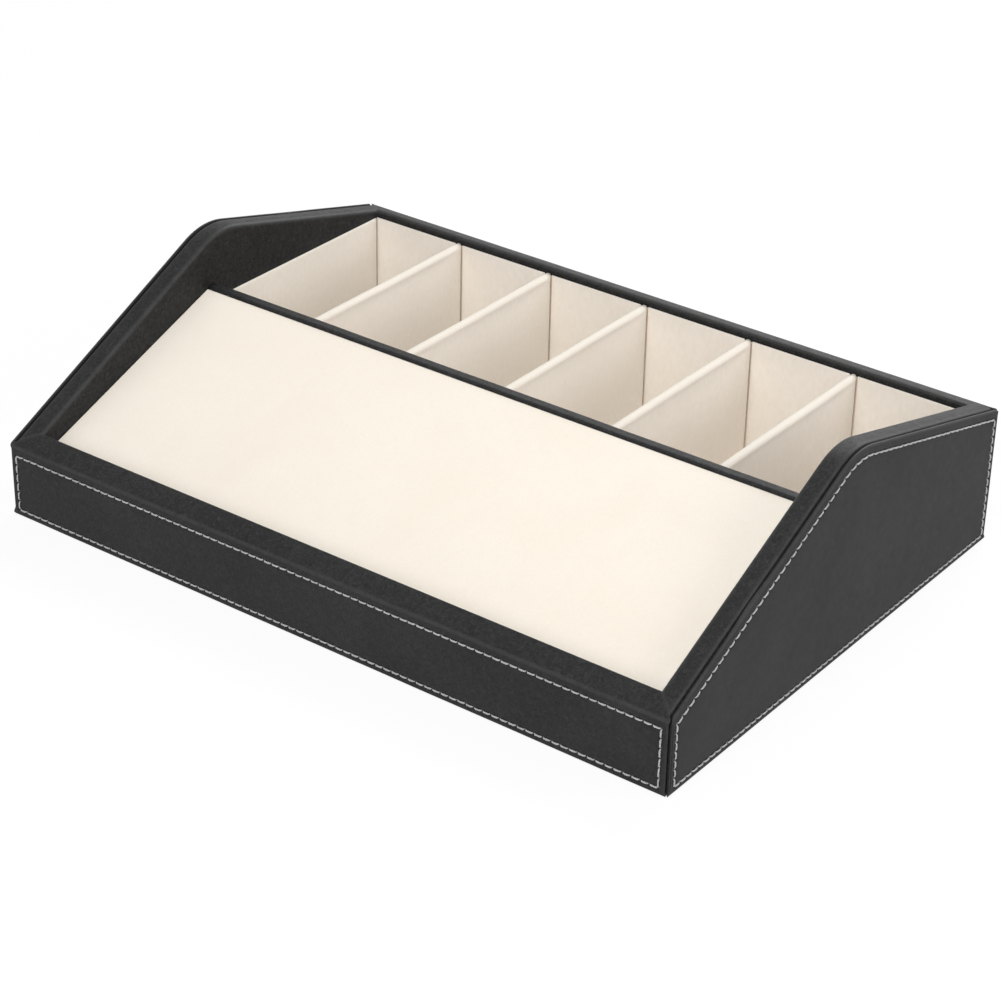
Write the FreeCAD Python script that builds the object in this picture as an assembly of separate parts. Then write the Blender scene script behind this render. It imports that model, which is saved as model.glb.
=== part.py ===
import FreeCAD, Part
import math
import os

# Belt display box: a leather-covered board case with a sloped suede display pad in front and six
# velvet compartments behind it. Millimetres. X runs along the width, Y from the front to the back,
# Z up. The origin is on the floor, under the middle of the box.

# Overall shape of the box
width = 400.0
depth = 288.0
front_height = 40.0
peak_height = 112.0
back_height = 74.0
peak_from_front = 147.0
peak_round = 40.0

# Thickness of what the walls are made of
felt_thickness = 0.6
outer_leather = 2.2
inner_leather = 1.0
side_board = 10.3
front_board = 8.5
back_board = 7.8
centre_board = 4.5
base_board = 6.0

# Step in the side boards' outer top edge, which the groove is sunk into
rebate_width = 1.2
rebate_depth = 2.4

# Centre wall and display slope
centre_wall_from_front = 135.5
centre_wall_height = 81.8
display_low_height = 34.4
display_high_height = 80.5
pad_thickness = 3.0
display_board = 4.0
batten_width = 10.0
batten_height = 16.0

# Compartments, counted from the left; the sixth takes the width that is left
compartment_1_width = 54.7
compartment_2_width = 56.7
compartment_3_width = 58.6
compartment_4_width = 60.8
compartment_5_width = 58.7
divider_core = 3.0
velvet = 0.6
liner = 1.5
floor_pad = 2.0
compartment_height = 73.0
divider_above_liner = 0.5
slot_floor_height = 1.5

# Rounded edges
strip_edge_round = 1.4
lip_round = 0.6
centre_edge_round = 0.9
panel_edge_round = 1.1
groove_round = 0.9
fold_round = 2.4
pad_edge_round = 0.5

# Clearances
corner_seam = 0.3
soft_gap = 0.3
divider_side_gap = 0.3
divider_end_gap = 0.4
felt_inset = 5.0

# Stitching
stitch_pitch = 4.8
stitch_length = 3.8
stitch_width = 0.9
stitch_proud = 0.4
stitch_bevel = 0.2
stitch_margin = 5.0
stitch_margin_bottom = 3.4

# Brad nails
nail_radius = 0.6
nail_length = 28.0
nail_head_radius = 1.1
nail_head_thickness = 0.6
nail_play = 0.03
nail_edge_distance = 11.0

# Places worked out from the sizes above
side_wall = outer_leather + side_board + inner_leather
front_wall = outer_leather + front_board + inner_leather
back_wall = outer_leather + back_board + inner_leather
half_width = width / 2
front_y = -depth / 2
back_y = depth / 2
inner_x = half_width - side_wall
board_in_x = inner_x + inner_leather
board_out_x = half_width - outer_leather
front_board_y = front_y + outer_leather
front_board_in_y = front_board_y + front_board
front_in_y = front_y + front_wall
back_board_y = back_y - outer_leather
back_board_in_y = back_board_y - back_board
back_in_y = back_y - back_wall
floor_z = felt_thickness
base_top_z = floor_z + base_board
pad_top_z = base_top_z + floor_pad
centre_front_y = front_y + centre_wall_from_front
centre_board_y = centre_front_y + inner_leather
centre_board_back_y = centre_board_y + centre_board
centre_back_y = centre_board_back_y + inner_leather
divider_thickness = divider_core + 2 * velvet
divider_top_z = compartment_height + divider_above_liner
liner_in_x = inner_x - liner
liner_front_y = centre_back_y + liner
liner_back_y = back_in_y - liner
slot_width = divider_thickness + 2 * divider_side_gap
widths_before_dividers = [
    compartment_1_width,
    compartment_2_width,
    compartment_3_width,
    compartment_4_width,
    compartment_5_width,
]
divider_count = len(widths_before_dividers)

# Slopes of the side boards' top edge, before and behind the peak
rise_front = (peak_height - front_height) / peak_from_front
fall_back = (peak_height - back_height) / (depth - peak_from_front)
angle_front = math.atan(rise_front)
angle_back = math.atan(fall_back)

# Slope of the display pad
pad_rise = (display_high_height - display_low_height) / (centre_front_y - front_in_y)
pad_angle = math.atan(pad_rise)


def edge_z(y, inset=0.0):
    """Height of the sides' top edge at y, without the rounded peak; inset is taken square to it."""
    front_line = front_height + rise_front * (y - front_y) - inset / math.cos(angle_front)
    back_line = back_height + fall_back * (back_y - y) - inset / math.cos(angle_back)
    return min(front_line, back_line)


def peak_point(inset=0.0):
    """Where the two slopes of the top edge cross."""
    front_line = front_height - inset / math.cos(angle_front)
    back_line = back_height - inset / math.cos(angle_back)
    y = (back_line + fall_back * depth - front_line) / (rise_front + fall_back)
    return front_y + y, front_line + rise_front * y


def pad_surface_z(y, below=0.0):
    """Height of the display pad's surface at y, or of a plane that far below it, square to it."""
    return display_low_height + pad_rise * (y - front_in_y) - below / math.cos(pad_angle)


def rounded_face(points, plane, at):
    """A flat face from corners (a, b, radius), with an arc at each corner that has a radius.
    plane is "yz" or "xy" and says what a and b are; at is the place along the third axis."""

    def place(a, b):
        return FreeCAD.Vector(at, a, b) if plane == "yz" else FreeCAD.Vector(a, b, at)

    edges = []
    ends = []
    count = len(points)
    for i in range(count):
        a, b, radius = points[i]
        before = points[i - 1]
        after = points[(i + 1) % count]
        corner = FreeCAD.Vector(a, b, 0)
        back_way = (FreeCAD.Vector(before[0], before[1], 0) - corner).normalize()
        on_way = (FreeCAD.Vector(after[0], after[1], 0) - corner).normalize()
        if radius <= 0:
            ends.append((corner, corner, None))
            continue
        half = back_way.getAngle(on_way) / 2
        reach = radius / math.tan(half)
        middle_way = (back_way + on_way).normalize()
        middle = corner + middle_way * (radius / math.sin(half) - radius)
        ends.append((corner + back_way * reach, corner + on_way * reach, middle))
    for i in range(count):
        start, stop, middle = ends[i]
        if middle is not None:
            arc = Part.Arc(place(start.x, start.y), place(middle.x, middle.y), place(stop.x, stop.y))
            edges.append(arc.toShape())
        next_start = ends[(i + 1) % count][0]
        if stop.distanceToPoint(next_start) > 1e-6:
            edges.append(Part.makeLine(place(stop.x, stop.y), place(next_start.x, next_start.y)))
    return Part.Face(Part.Wire(edges))


def prism_yz(points, x0, x1):
    return rounded_face(points, "yz", x0).extrude(FreeCAD.Vector(x1 - x0, 0, 0))


def prism_xy(points, z0, z1):
    return rounded_face(points, "xy", z0).extrude(FreeCAD.Vector(0, 0, z1 - z0))


def block(x0, x1, y0, y1, z0, z1):
    return Part.makeBox(x1 - x0, y1 - y0, z1 - z0, FreeCAD.Vector(x0, y0, z0))


def mirrored(shape):
    return shape.mirror(FreeCAD.Vector(0, 0, 0), FreeCAD.Vector(1, 0, 0))


def cut_all(shape, tools):
    for tool in tools:
        shape = shape.cut(tool)
    return shape


def fillet_where(shape, radius, wanted):
    """Rounds the edges whose middle point passes the test."""
    chosen = []
    for edge in shape.Edges:
        middle = edge.valueAt((edge.FirstParameter + edge.LastParameter) / 2)
        if wanted(edge, middle):
            chosen.append(edge)
    return shape.makeFillet(radius, chosen)


def save(shape, name):
    solids = shape.Solids
    out = solids[0] if len(solids) == 1 else Part.makeCompound(solids)
    out.exportStep("parts/" + name + ".step")


def side_profile(y0, y1, z0, inset):
    """Five-sided outline of a side, between y0 and y1, with its rounded peak."""
    peak_y, peak_z = peak_point(inset)
    return [
        (y0, z0, 0),
        (y0, edge_z(y0, inset), 0),
        (peak_y, peak_z, peak_round - inset),
        (y1, edge_z(y1, inset), 0),
        (y1, z0, 0),
    ]


def is_top_edge(edge, middle, x):
    """True for an edge of the top outline that lies at x."""
    along = abs(edge.Vertexes[0].Point.x - x) < 1e-4 and abs(edge.Vertexes[-1].Point.x - x) < 1e-4
    upright = abs(edge.Vertexes[0].Point.y - edge.Vertexes[-1].Point.y) < 1e-4
    return along and not upright and middle.z > front_height / 2


# Boards
def make_side_board_blank():
    full = side_profile(front_board_y, back_board_y, floor_z, inner_leather)
    low = side_profile(front_board_y, back_board_y, floor_z, inner_leather + rebate_depth)
    step_x = board_out_x - rebate_width
    return prism_yz(full, board_in_x, step_x).fuse(prism_yz(low, step_x, board_out_x)).removeSplitter()


def make_front_board():
    inset = inner_leather
    return prism_yz(
        [
            (front_board_y, floor_z, 0),
            (front_board_y, edge_z(front_board_y, inset), 0),
            (front_board_in_y, edge_z(front_board_in_y, inset), 0),
            (front_board_in_y, floor_z, 0),
        ],
        -board_in_x,
        board_in_x,
    )


def make_back_board():
    inset = inner_leather
    return prism_yz(
        [
            (back_board_in_y, floor_z, 0),
            (back_board_in_y, edge_z(back_board_in_y, inset), 0),
            (back_board_y, edge_z(back_board_y, inset), 0),
            (back_board_y, floor_z, 0),
        ],
        -board_in_x,
        board_in_x,
    )


def make_centre_board():
    top = centre_wall_height - inner_leather
    return block(-board_in_x, board_in_x, centre_board_y, centre_board_back_y, base_top_z, top)


def make_base_board():
    return block(-board_in_x, board_in_x, front_board_in_y, back_board_in_y, floor_z, base_top_z)


# Brad nails through the side boards into what stands between them
def nail_places():
    """(y, z) of each nail on one side."""
    places = []
    low = floor_z + nail_edge_distance
    for y in ((front_board_y + front_board_in_y) / 2, (back_board_in_y + back_board_y) / 2):
        high = edge_z(y, inner_leather) - nail_edge_distance
        places += [(y, low), (y, high)]
    centre_y = (centre_board_y + centre_board_back_y) / 2
    centre_low = base_top_z + nail_edge_distance
    centre_high = centre_wall_height - nail_edge_distance
    places += [(centre_y, centre_low), (centre_y, (centre_low + centre_high) / 2), (centre_y, centre_high)]
    base_z = (floor_z + base_top_z) / 2
    for share in (0.2, 0.5, 0.8):
        places.append((front_board_in_y + share * (back_board_in_y - front_board_in_y), base_z))
    return places


def make_nail(y, z, play):
    """A nail that points inwards from the right side; play widens it into its hole."""
    inwards = FreeCAD.Vector(-1, 0, 0)
    tip_x = board_out_x - nail_length - play
    shank = Part.makeCylinder(
        nail_radius + play, nail_length + play, FreeCAD.Vector(board_out_x, y, z), inwards
    )
    head = Part.makeCylinder(
        nail_head_radius + play, nail_head_thickness + play, FreeCAD.Vector(board_out_x, y, z), inwards
    )
    assert tip_x > 0
    return shank.fuse(head)


def make_nails(play):
    right = [make_nail(y, z, play) for y, z in nail_places()]
    return right + [mirrored(nail) for nail in right]


# Leather over the front and back walls: outer face, bevelled top edge and inner face
def mitre_keep_out(corner_y, leather_y, in_y, outwards):
    """The corner past the mitre line, which belongs to the right side; outwards is -1 at the front."""
    reach = 5.0
    return [
        (half_width + reach, corner_y + outwards * reach, 0),
        (board_out_x, leather_y, 0),
        (inner_x, in_y, 0),
        (inner_x, in_y - outwards * reach, 0),
        (half_width + reach, in_y - outwards * reach, 0),
    ]


def make_wall_leather(corner_y, leather_y, board_in, in_y, outwards):
    lip = inner_leather
    profile = [
        (corner_y, floor_z, panel_edge_round / 2),
        (corner_y, edge_z(corner_y), fold_round),
        (in_y, edge_z(in_y), lip_round),
        (in_y, base_top_z, 0),
        (board_in, base_top_z, 0),
        (board_in, edge_z(board_in, lip), 0),
        (leather_y, edge_z(leather_y, lip), 0),
        (leather_y, floor_z, 0),
    ]
    shape = prism_yz(profile, -half_width - 1, half_width + 1)
    corner = prism_xy(mitre_keep_out(corner_y, leather_y, in_y, outwards), -1, peak_height)
    shape = cut_all(shape, [corner, mirrored(corner)])
    seam = block(half_width - corner_seam, half_width + 2, corner_y - 2, corner_y + 2, -1, peak_height)
    under_strip = prism_yz(
        side_profile(front_board_y, back_board_y, floor_z - 1, inner_leather), inner_x, board_out_x
    )
    return cut_all(shape, [seam, mirrored(seam), under_strip, mirrored(under_strip)])


def make_front_leather():
    return make_wall_leather(front_y, front_board_y, front_board_in_y, front_in_y, -1)


def make_back_leather():
    return make_wall_leather(back_y, back_board_y, back_board_in_y, back_in_y, 1)


# Leather strip over a side board's top edge and inner face
def make_side_wrap(neighbours):
    shell = prism_yz(side_profile(front_board_y, back_board_y, floor_z, 0), inner_x, board_out_x)
    shell = fillet_where(
        shell, strip_edge_round, lambda edge, middle: is_top_edge(edge, middle, inner_x)
    )
    shell = fillet_where(
        shell, groove_round, lambda edge, middle: is_top_edge(edge, middle, board_out_x)
    )
    return cut_all(shell, neighbours)


# Padded leather panel on the outside of a side board
def make_outer_panel():
    panel = prism_yz(side_profile(front_y, back_y, floor_z, 0), board_out_x, half_width)
    panel = fillet_where(
        panel, groove_round, lambda edge, middle: is_top_edge(edge, middle, board_out_x)
    )
    panel = fillet_where(
        panel, panel_edge_round, lambda edge, middle: is_top_edge(edge, middle, half_width)
    )
    seam = corner_seam * math.sqrt(2)
    front_corner = [
        (board_out_x - 1, front_board_y + 1 + seam, 0),
        (half_width + 1, front_y - 1 + seam, 0),
        (half_width + 1, front_y - 3, 0),
        (board_out_x - 1, front_y - 3, 0),
    ]
    back_corner = [(x, -y, 0) for x, y, radius in front_corner]
    tools = [prism_xy(corner, -1, peak_height) for corner in (front_corner, back_corner)]
    return cut_all(panel, tools)


# Centre wall's leather, folded over its board
def make_centre_wrap():
    shell = prism_yz(
        [
            (centre_front_y, base_top_z, 0),
            (centre_front_y, centre_wall_height, centre_edge_round),
            (centre_back_y, centre_wall_height, centre_edge_round),
            (centre_back_y, base_top_z, 0),
        ],
        -inner_x,
        inner_x,
    )
    return shell.cut(make_centre_board())


# Display slope: pad, board and battens
def slope_slab(top_below, bottom_below, y0, y1, half_length, radius):
    return prism_yz(
        [
            (y0, pad_surface_z(y0, bottom_below), 0),
            (y0, pad_surface_z(y0, top_below), radius),
            (y1, pad_surface_z(y1, top_below), radius),
            (y1, pad_surface_z(y1, bottom_below), 0),
        ],
        -half_length,
        half_length,
    )


def make_display_pad():
    y0 = front_in_y + soft_gap
    y1 = centre_front_y - soft_gap
    return slope_slab(0, pad_thickness, y0, y1, inner_x - soft_gap, pad_edge_round)


def make_display_board():
    below = pad_thickness + display_board
    y0 = front_in_y + soft_gap
    y1 = centre_front_y - soft_gap
    return slope_slab(pad_thickness, below, y0, y1, inner_x - soft_gap, 0)


def make_batten(y0, y1):
    below = pad_thickness + display_board
    low = min(pad_surface_z(y0, below), pad_surface_z(y1, below)) - batten_height
    return prism_yz(
        [
            (y0, low, 0),
            (y0, pad_surface_z(y0, below), 0),
            (y1, pad_surface_z(y1, below), 0),
            (y1, low, 0),
        ],
        -inner_x + soft_gap,
        inner_x - soft_gap,
    )


# Compartments
def divider_x(i):
    """Middle of divider i, counted from the left."""
    return -liner_in_x + sum(widths_before_dividers[: i + 1]) + (i + 0.5) * divider_thickness


def make_slotted_liner(y0, y1):
    plate = block(-inner_x, inner_x, y0, y1, base_top_z, compartment_height)
    slots = []
    for i in range(divider_count):
        x = divider_x(i)
        slots.append(
            block(
                x - slot_width / 2,
                x + slot_width / 2,
                y0 - 1,
                y1 + 1,
                base_top_z + slot_floor_height,
                compartment_height + 1,
            )
        )
    return cut_all(plate, slots)


def make_side_liner():
    return block(liner_in_x, inner_x, liner_front_y, liner_back_y, base_top_z, compartment_height)


def make_floor_pad():
    x = liner_in_x - soft_gap
    return block(-x, x, liner_front_y + soft_gap, liner_back_y - soft_gap, base_top_z, pad_top_z)


def make_divider_core(i):
    x = divider_x(i)
    y0 = centre_back_y + divider_end_gap + velvet
    y1 = back_in_y - divider_end_gap - velvet
    top = divider_top_z - velvet
    return block(x - divider_core / 2, x + divider_core / 2, y0, y1, pad_top_z, top)


def make_divider_velvet(i):
    x = divider_x(i)
    y0 = centre_back_y + divider_end_gap
    y1 = back_in_y - divider_end_gap
    half = divider_thickness / 2
    cover = block(x - half, x + half, y0, y1, pad_top_z, divider_top_z)
    cover = fillet_where(
        cover,
        velvet,
        lambda edge, middle: abs(middle.z - divider_top_z) < 1e-4 and abs(middle.y - (y0 + y1) / 2) < 1e-4,
    )
    return cover.cut(make_divider_core(i))


# Stitching: flat-bottomed stitches that lie on the leather's outer face
def make_stitch():
    """One stitch along X, on the plane z = 0, standing up along Z."""
    bar = Part.makeBox(
        stitch_length,
        stitch_width,
        stitch_proud,
        FreeCAD.Vector(-stitch_length / 2, -stitch_width / 2, 0),
    )
    top_edges = []
    for edge in bar.Edges:
        if all(abs(vertex.Point.z - stitch_proud) < 1e-6 for vertex in edge.Vertexes):
            top_edges.append(edge)
    return bar.makeChamfer(stitch_bevel, top_edges)


def stitch_run(points):
    """(a, b, angle) of each stitch along a closed outline of corners (a, b, radius)."""
    outline = rounded_face(points, "xy", 0).OuterWire
    run = []
    for edge in outline.OrderedEdges:
        count = max(1, round(edge.Length / stitch_pitch))
        for k in range(count):
            at = edge.getParameterByLength((k + 0.5) * edge.Length / count)
            place = edge.valueAt(at)
            way = edge.tangentAt(at)
            run.append((place.x, place.y, math.atan2(way.y, way.x)))
    return run


def stitches_on_side(x_face, facing):
    """Stitches on a side's outer face; a is Y and b is Z."""
    low = floor_z + stitch_margin_bottom
    y0 = front_y + stitch_margin
    y1 = back_y - stitch_margin
    run = stitch_run(side_profile(y0, y1, low, stitch_margin))
    stitches = []
    for y, z, angle in run:
        stitch = make_stitch()
        stitch.rotate(FreeCAD.Vector(0, 0, 0), FreeCAD.Vector(0, 0, 1), math.degrees(angle))
        turn = FreeCAD.Rotation(FreeCAD.Vector(0, 1, 0), FreeCAD.Vector(0, 0, 1), FreeCAD.Vector(1, 0, 0), "ZXY")
        stitch.Placement = FreeCAD.Placement(FreeCAD.Vector(x_face, y, z), turn).multiply(stitch.Placement)
        stitches.append(stitch)
    if facing < 0:
        stitches = [mirrored(stitch) for stitch in stitches]
    return Part.makeCompound(stitches)


def stitches_on_wall(y_face, top, facing):
    """Stitches on the front or back face; facing is -1 for the front."""
    low = floor_z + stitch_margin_bottom
    x = half_width - stitch_margin
    high = top - stitch_margin
    run = stitch_run([(-x, low, 0), (-x, high, 0), (x, high, 0), (x, low, 0)])
    stitches = []
    for a, z, angle in run:
        stitch = make_stitch()
        stitch.rotate(FreeCAD.Vector(0, 0, 0), FreeCAD.Vector(0, 0, 1), math.degrees(angle))
        stitch.rotate(FreeCAD.Vector(0, 0, 0), FreeCAD.Vector(1, 0, 0), 90)
        if facing > 0:
            stitch.rotate(FreeCAD.Vector(0, 0, 0), FreeCAD.Vector(0, 0, 1), 180)
            a = -a
        stitch.translate(FreeCAD.Vector(a, y_face, z))
        stitches.append(stitch)
    return Part.makeCompound(stitches)


def make_felt():
    x = half_width - felt_inset
    return block(-x, x, front_y + felt_inset, back_y - felt_inset, 0, felt_thickness)


def main():
    os.makedirs("parts", exist_ok=True)

    nail_holes = make_nails(nail_play)
    front_core = make_front_board()
    back_core = make_back_board()
    centre_core = make_centre_board()
    base_core = make_base_board()
    side_core = make_side_board_blank()
    front_leather = make_front_leather()
    back_leather = make_back_leather()

    save(cut_all(front_core, nail_holes), "front_board")
    save(cut_all(back_core, nail_holes), "back_board")
    save(cut_all(centre_core, nail_holes), "centre_board")
    save(cut_all(base_core, nail_holes), "base_board")
    drilled_side = cut_all(side_core, nail_holes)
    save(drilled_side, "right_side_board")
    save(mirrored(drilled_side), "left_side_board")
    save(Part.makeCompound(make_nails(0.0)), "brad_nails")
    save(make_felt(), "base_felt")

    save(front_leather, "front_leather")
    save(back_leather, "back_leather")
    neighbours = [side_core, front_core, back_core, centre_core, base_core, front_leather, back_leather]
    neighbours += nail_holes
    side_wrap = make_side_wrap(neighbours)
    save(side_wrap, "right_side_wrap")
    save(mirrored(side_wrap), "left_side_wrap")
    outer_panel = make_outer_panel()
    save(outer_panel, "right_outer_panel")
    save(mirrored(outer_panel), "left_outer_panel")
    save(make_centre_wrap(), "centre_wrap")

    save(make_display_pad(), "display_pad")
    save(make_display_board(), "display_board")
    save(make_batten(front_in_y, front_in_y + batten_width), "display_front_batten")
    save(make_batten(centre_front_y - batten_width, centre_front_y), "display_rear_batten")

    save(make_slotted_liner(centre_back_y, liner_front_y), "front_liner")
    save(make_slotted_liner(liner_back_y, back_in_y), "back_liner")
    side_liner = make_side_liner()
    save(side_liner, "right_liner")
    save(mirrored(side_liner), "left_liner")
    save(make_floor_pad(), "compartment_floor_pad")
    for i in range(divider_count):
        save(make_divider_core(i), "divider_" + str(i + 1) + "_core")
        save(make_divider_velvet(i), "divider_" + str(i + 1) + "_velvet")

    save(stitches_on_wall(front_y, front_height, -1), "front_stitching")
    save(stitches_on_wall(back_y, back_height, 1), "back_stitching")
    save(stitches_on_side(half_width, 1), "right_stitching")
    save(stitches_on_side(half_width, -1), "left_stitching")


main()
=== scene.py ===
"""Belt display box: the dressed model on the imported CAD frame. Lengths are in millimetres until add_mesh."""

import math

import bmesh
import bpy
import numpy as np
from mathutils import Matrix, Vector


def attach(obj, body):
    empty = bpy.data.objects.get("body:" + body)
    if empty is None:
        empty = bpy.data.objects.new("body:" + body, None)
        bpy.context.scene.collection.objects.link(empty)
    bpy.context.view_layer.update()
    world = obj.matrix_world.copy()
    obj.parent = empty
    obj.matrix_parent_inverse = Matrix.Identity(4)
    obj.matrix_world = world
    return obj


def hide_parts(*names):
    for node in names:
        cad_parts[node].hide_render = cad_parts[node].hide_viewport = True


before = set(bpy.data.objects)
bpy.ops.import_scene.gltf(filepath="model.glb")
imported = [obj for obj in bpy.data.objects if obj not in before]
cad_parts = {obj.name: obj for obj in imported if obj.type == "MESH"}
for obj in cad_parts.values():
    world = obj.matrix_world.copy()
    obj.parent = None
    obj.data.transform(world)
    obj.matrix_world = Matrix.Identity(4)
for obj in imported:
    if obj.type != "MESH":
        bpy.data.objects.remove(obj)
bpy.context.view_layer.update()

MM = 0.001

# Sizes of the box, as in its CAD source
HALF_W, HALF_D = 200.0, 144.0
FRONT_H, PEAK_H, BACK_H = 40.0, 112.0, 74.0
PEAK_FROM_FRONT, PEAK_ROUND = 147.0, 40.0
FLOOR_Z, BASE_TOP, PAD_TOP = 0.6, 6.6, 8.6
OUTER, INNER = 2.2, 1.0
BOARD_X, INNER_X, LINER_X = 197.8, 186.5, 185.0
FRONT_WALL, BACK_WALL = 11.7, 11.0
FRONT_IN_Y, BACK_IN_Y = -132.3, 133.0
CENTRE_FRONT_Y, CENTRE_BACK_Y, CENTRE_TOP = -8.5, -2.0, 81.8
LINER_FRONT_Y, LINER_BACK_Y, LINER_TOP = -0.5, 131.5, 73.0
COMPARTMENTS = (54.7, 56.7, 58.6, 60.8, 58.7)
DIVIDERS, DIVIDER_T, DIVIDER_TOP, SLOT_W = len(COMPARTMENTS), 4.2, 73.5, 5.0
PAD_LOW, PAD_HIGH, PAD_THICK = 34.4, 80.5, 3.0
STITCH_PITCH, STITCH_MARGIN, STITCH_LOW = 4.8, 5.0, 4.0

RISE = (PEAK_H - FRONT_H) / PEAK_FROM_FRONT
FALL = (PEAK_H - BACK_H) / (2 * HALF_D - PEAK_FROM_FRONT)
ANGLE_F, ANGLE_B = math.atan(RISE), math.atan(FALL)
NORMAL_F = np.array([-math.sin(ANGLE_F), math.cos(ANGLE_F)])
NORMAL_B = np.array([math.sin(ANGLE_B), math.cos(ANGLE_B)])


# Outline of the sides
def edge_z(y, inset=0.0):
    """Height of the sides' straight slopes at y; the lower of the two."""
    front = FRONT_H + RISE * (y + HALF_D) - inset / math.cos(ANGLE_F)
    back = BACK_H + FALL * (HALF_D - y) - inset / math.cos(ANGLE_B)
    return np.minimum(front, back)


def peak_point(inset):
    front = FRONT_H - inset / math.cos(ANGLE_F)
    back = BACK_H - inset / math.cos(ANGLE_B)
    y = (back + FALL * 2 * HALF_D - front) / (RISE + FALL)
    return np.array([y - HALF_D, front + RISE * y])


PEAK_CENTRE = peak_point(PEAK_ROUND)


def top_line(y0, y1, inset, steps, bunch=0.0):
    """Stations (y, z) and normals of the top edge from y0 to y1; steps for the front slope, peak and back slope.
    With bunch the stations stand closer near both ends."""
    radius = PEAK_ROUND - inset
    start = np.array([y0, edge_z(y0, inset)])
    stop = np.array([y1, edge_z(y1, inset)])
    first, last = PEAK_CENTRE + radius * NORMAL_F, PEAK_CENTRE + radius * NORMAL_B
    points, normals = [], []
    for k in range(steps[0]):
        away = (first - start) * k / steps[0]
        points.append(start + away * (1 - bunch * math.exp(-np.linalg.norm(away) / 3.0)))
        normals.append(NORMAL_F)
    for k in range(steps[1]):
        turn = -ANGLE_F + (ANGLE_F + ANGLE_B) * k / steps[1]
        way = np.array([math.sin(turn), math.cos(turn)])
        points.append(PEAK_CENTRE + radius * way)
        normals.append(way)
    for k in range(steps[2] + 1):
        away = (last - stop) * (1 - k / steps[2])
        points.append(stop + away * (1 - bunch * math.exp(-np.linalg.norm(away) / 3.0)))
        normals.append(NORMAL_B)
    return np.array(points), np.array(normals)


# Mesh helpers
def add_mesh(name, points, faces, material, body="case", replaces=(), wear_and_painted_light=None):
    """A piece from points in millimetres; the per-point value from 0 to 1 marks rubbing plus painted light: a painted
    highlight on leather edges and painted shade on velvet folds.
    """
    mesh = bpy.data.meshes.new(name)
    mesh.from_pydata((np.asarray(points, float) * MM).tolist(), [], [tuple(map(int, f)) for f in faces])
    if wear_and_painted_light is not None:
        mesh.attributes.new("wear_and_painted_light", "FLOAT", "POINT").data.foreach_set("value", np.clip(wear_and_painted_light, 0, 1).ravel())
    work = bmesh.new()
    work.from_mesh(mesh)
    bmesh.ops.remove_doubles(work, verts=work.verts, dist=1e-7)
    bmesh.ops.recalc_face_normals(work, faces=work.faces)
    work.to_mesh(mesh)
    work.free()
    mesh.polygons.foreach_set("use_smooth", [True] * len(mesh.polygons))
    mesh.update()
    piece = bpy.data.objects.new(name, mesh)
    bpy.context.scene.collection.objects.link(piece)
    mesh.materials.append(material)
    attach(piece, body)
    if replaces:
        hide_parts(*replaces)
    return piece


def tube_faces(rows, cols, start=0, close_rows=True):
    """Quads of a grid whose rows close on themselves; columns run along the piece."""
    faces = []
    for r in range(rows if close_rows else rows - 1):
        r2 = (r + 1) % rows
        for c in range(cols - 1):
            a, b = start + r * cols + c, start + r2 * cols + c
            faces.append((a, a + 1, b + 1, b))
    return faces


def spread(length, head, tail, step):
    """Distances along a straight part: marks from its start, marks from its end, and even steps between."""
    low, high = max(head), length - max(tail)
    count = max(1, math.ceil((high - low) / step))
    between = [low + (high - low) * k / count for k in range(1, count)]
    return sorted(head) + between + sorted(length - t for t in tail)


def rounded_path(corners, marks, arc_steps):
    """Stations (a, b), normals and share of the turn along open corners (a, b, radius)."""
    points, normals, places = [], [], []
    count = len(corners)
    at = np.array(corners[0][:2], float)
    for i in range(1, count):
        corner = np.array(corners[i][:2], float)
        way = corner - np.array(corners[i - 1][:2], float)
        way /= np.linalg.norm(way)
        radius = corners[i][2] if i < count - 1 else 0.0
        stop = corner
        if radius:
            on = np.array(corners[i + 1][:2], float) - corner
            on /= np.linalg.norm(on)
            turn = math.acos(max(-1, min(1, way @ on)))
            reach = radius * math.tan(turn / 2)
            stop = corner - way * reach
        length = np.linalg.norm(stop - at)
        normal = np.array([-way[1], way[0]])
        for d in marks[i - 1](length):
            points.append(at + way * d)
            normals.append(normal)
            places.append(i - 1)
        if radius:
            side = 1.0 if way[0] * on[1] - way[1] * on[0] > 0 else -1.0
            inward = side * normal
            centre = stop + inward * radius
            for k in range(1, arc_steps):
                angle = turn * k / arc_steps
                away = -inward * math.cos(angle) + way * math.sin(angle)
                points.append(centre + away * radius)
                normals.append(-side * away)
                places.append(i - 1 + k / arc_steps)
            at = corner + on * reach
    return np.array(points), np.array(normals), np.array(places)


# Seams
CHANNEL_DEPTH, HOLE_DEPTH, CHANNEL_WIDTH = 0.26, 0.30, 1.15


def straight_seam(start, end):
    start, end = np.array(start, float), np.array(end, float)
    length = np.linalg.norm(end - start)
    return {"start": start, "end": end, "count": max(1, round(length / STITCH_PITCH)), "length": length}


def peak_seam(inset):
    radius = PEAK_ROUND - inset
    length = radius * (ANGLE_F + ANGLE_B)
    return {"radius": radius, "count": max(1, round(length / STITCH_PITCH)), "length": length}


def seam_place(seam, share):
    """Point and direction on a seam, at a share of its length."""
    if "start" in seam:
        way = (seam["end"] - seam["start"]) / seam["length"]
        return seam["start"] + (seam["end"] - seam["start"]) * share, way
    turn = -ANGLE_F + (ANGLE_F + ANGLE_B) * share
    return PEAK_CENTRE + seam["radius"] * np.array([math.sin(turn), math.cos(turn)]), np.array(
        [math.cos(turn), -math.sin(turn)]
    )


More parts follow.
